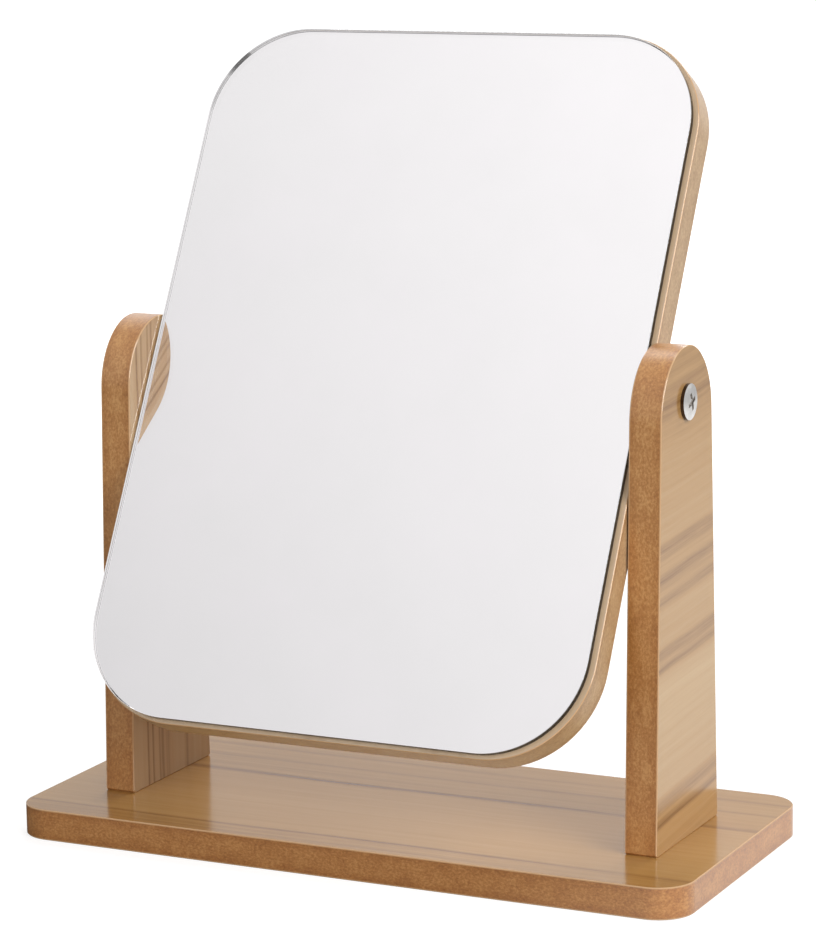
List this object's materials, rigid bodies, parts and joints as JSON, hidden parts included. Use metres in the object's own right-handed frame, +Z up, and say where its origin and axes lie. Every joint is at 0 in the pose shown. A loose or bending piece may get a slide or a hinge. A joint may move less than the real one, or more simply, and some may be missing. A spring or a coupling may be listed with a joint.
{
  "type": "vanity mirror",
  "caption": "Free-standing vanity mirror: a rounded glass mirror on a laminated board tilts between tapered posts on a flat rounded base.",
  "frame": {"origin": "middle of the base's underside, on the surface that it stands on", "axes": "+Z up, +X along the pivot axis to the right seen from the front, the mirror faces -Y"},
  "size_m": [0.2064, 0.1098, 0.2261],
  "materials": {
    "bare_fibreboard": "sanded and sealed edge",
    "wood_print_facing": "glossy wood-print laminate",
    "silvered_glass": "polished",
    "nickel_plated_screw": "bright plated",
    "zinc_plated_screw": "zinc plated",
    "insert_brass": "turned",
    "washer_nylon": "matt black nylon",
    "white_tape": "matt"
  },
  "bodies": {
    "stand": {"base_board": "bare_fibreboard", "base_top_facing": "wood_print_facing", "base_underside_facing": "wood_print_facing", "left_post_board": "bare_fibreboard", "left_post_inner_facing": "wood_print_facing", "left_post_outer_facing": "wood_print_facing", "right_post_board": "bare_fibreboard", "right_post_inner_facing": "wood_print_facing", "right_post_outer_facing": "wood_print_facing", "base_screw_left_front": "zinc_plated_screw", "base_screw_left_rear": "zinc_plated_screw", "base_screw_right_front": "zinc_plated_screw", "base_screw_right_rear": "zinc_plated_screw"},
    "mirror": {"mirror_panel_board": "bare_fibreboard", "panel_front_facing": "wood_print_facing", "panel_back_facing": "wood_print_facing", "mirror_tape_left": "white_tape", "mirror_tape_middle": "white_tape", "mirror_tape_right": "white_tape", "mirror_glass": "silvered_glass", "threaded_insert_left": "insert_brass", "threaded_insert_right": "insert_brass", "pivot_washer_left": "washer_nylon", "pivot_washer_right": "washer_nylon", "pivot_screw_left": "nickel_plated_screw", "pivot_screw_right": "nickel_plated_screw"}
  },
  "joints": [
    {"name": "mirror_tilt", "type": "hinge", "parent": "stand", "child": "mirror", "pos_m": [0, 0, 0.131], "axis": [1, 0, 0], "continuous": true}
  ]
}
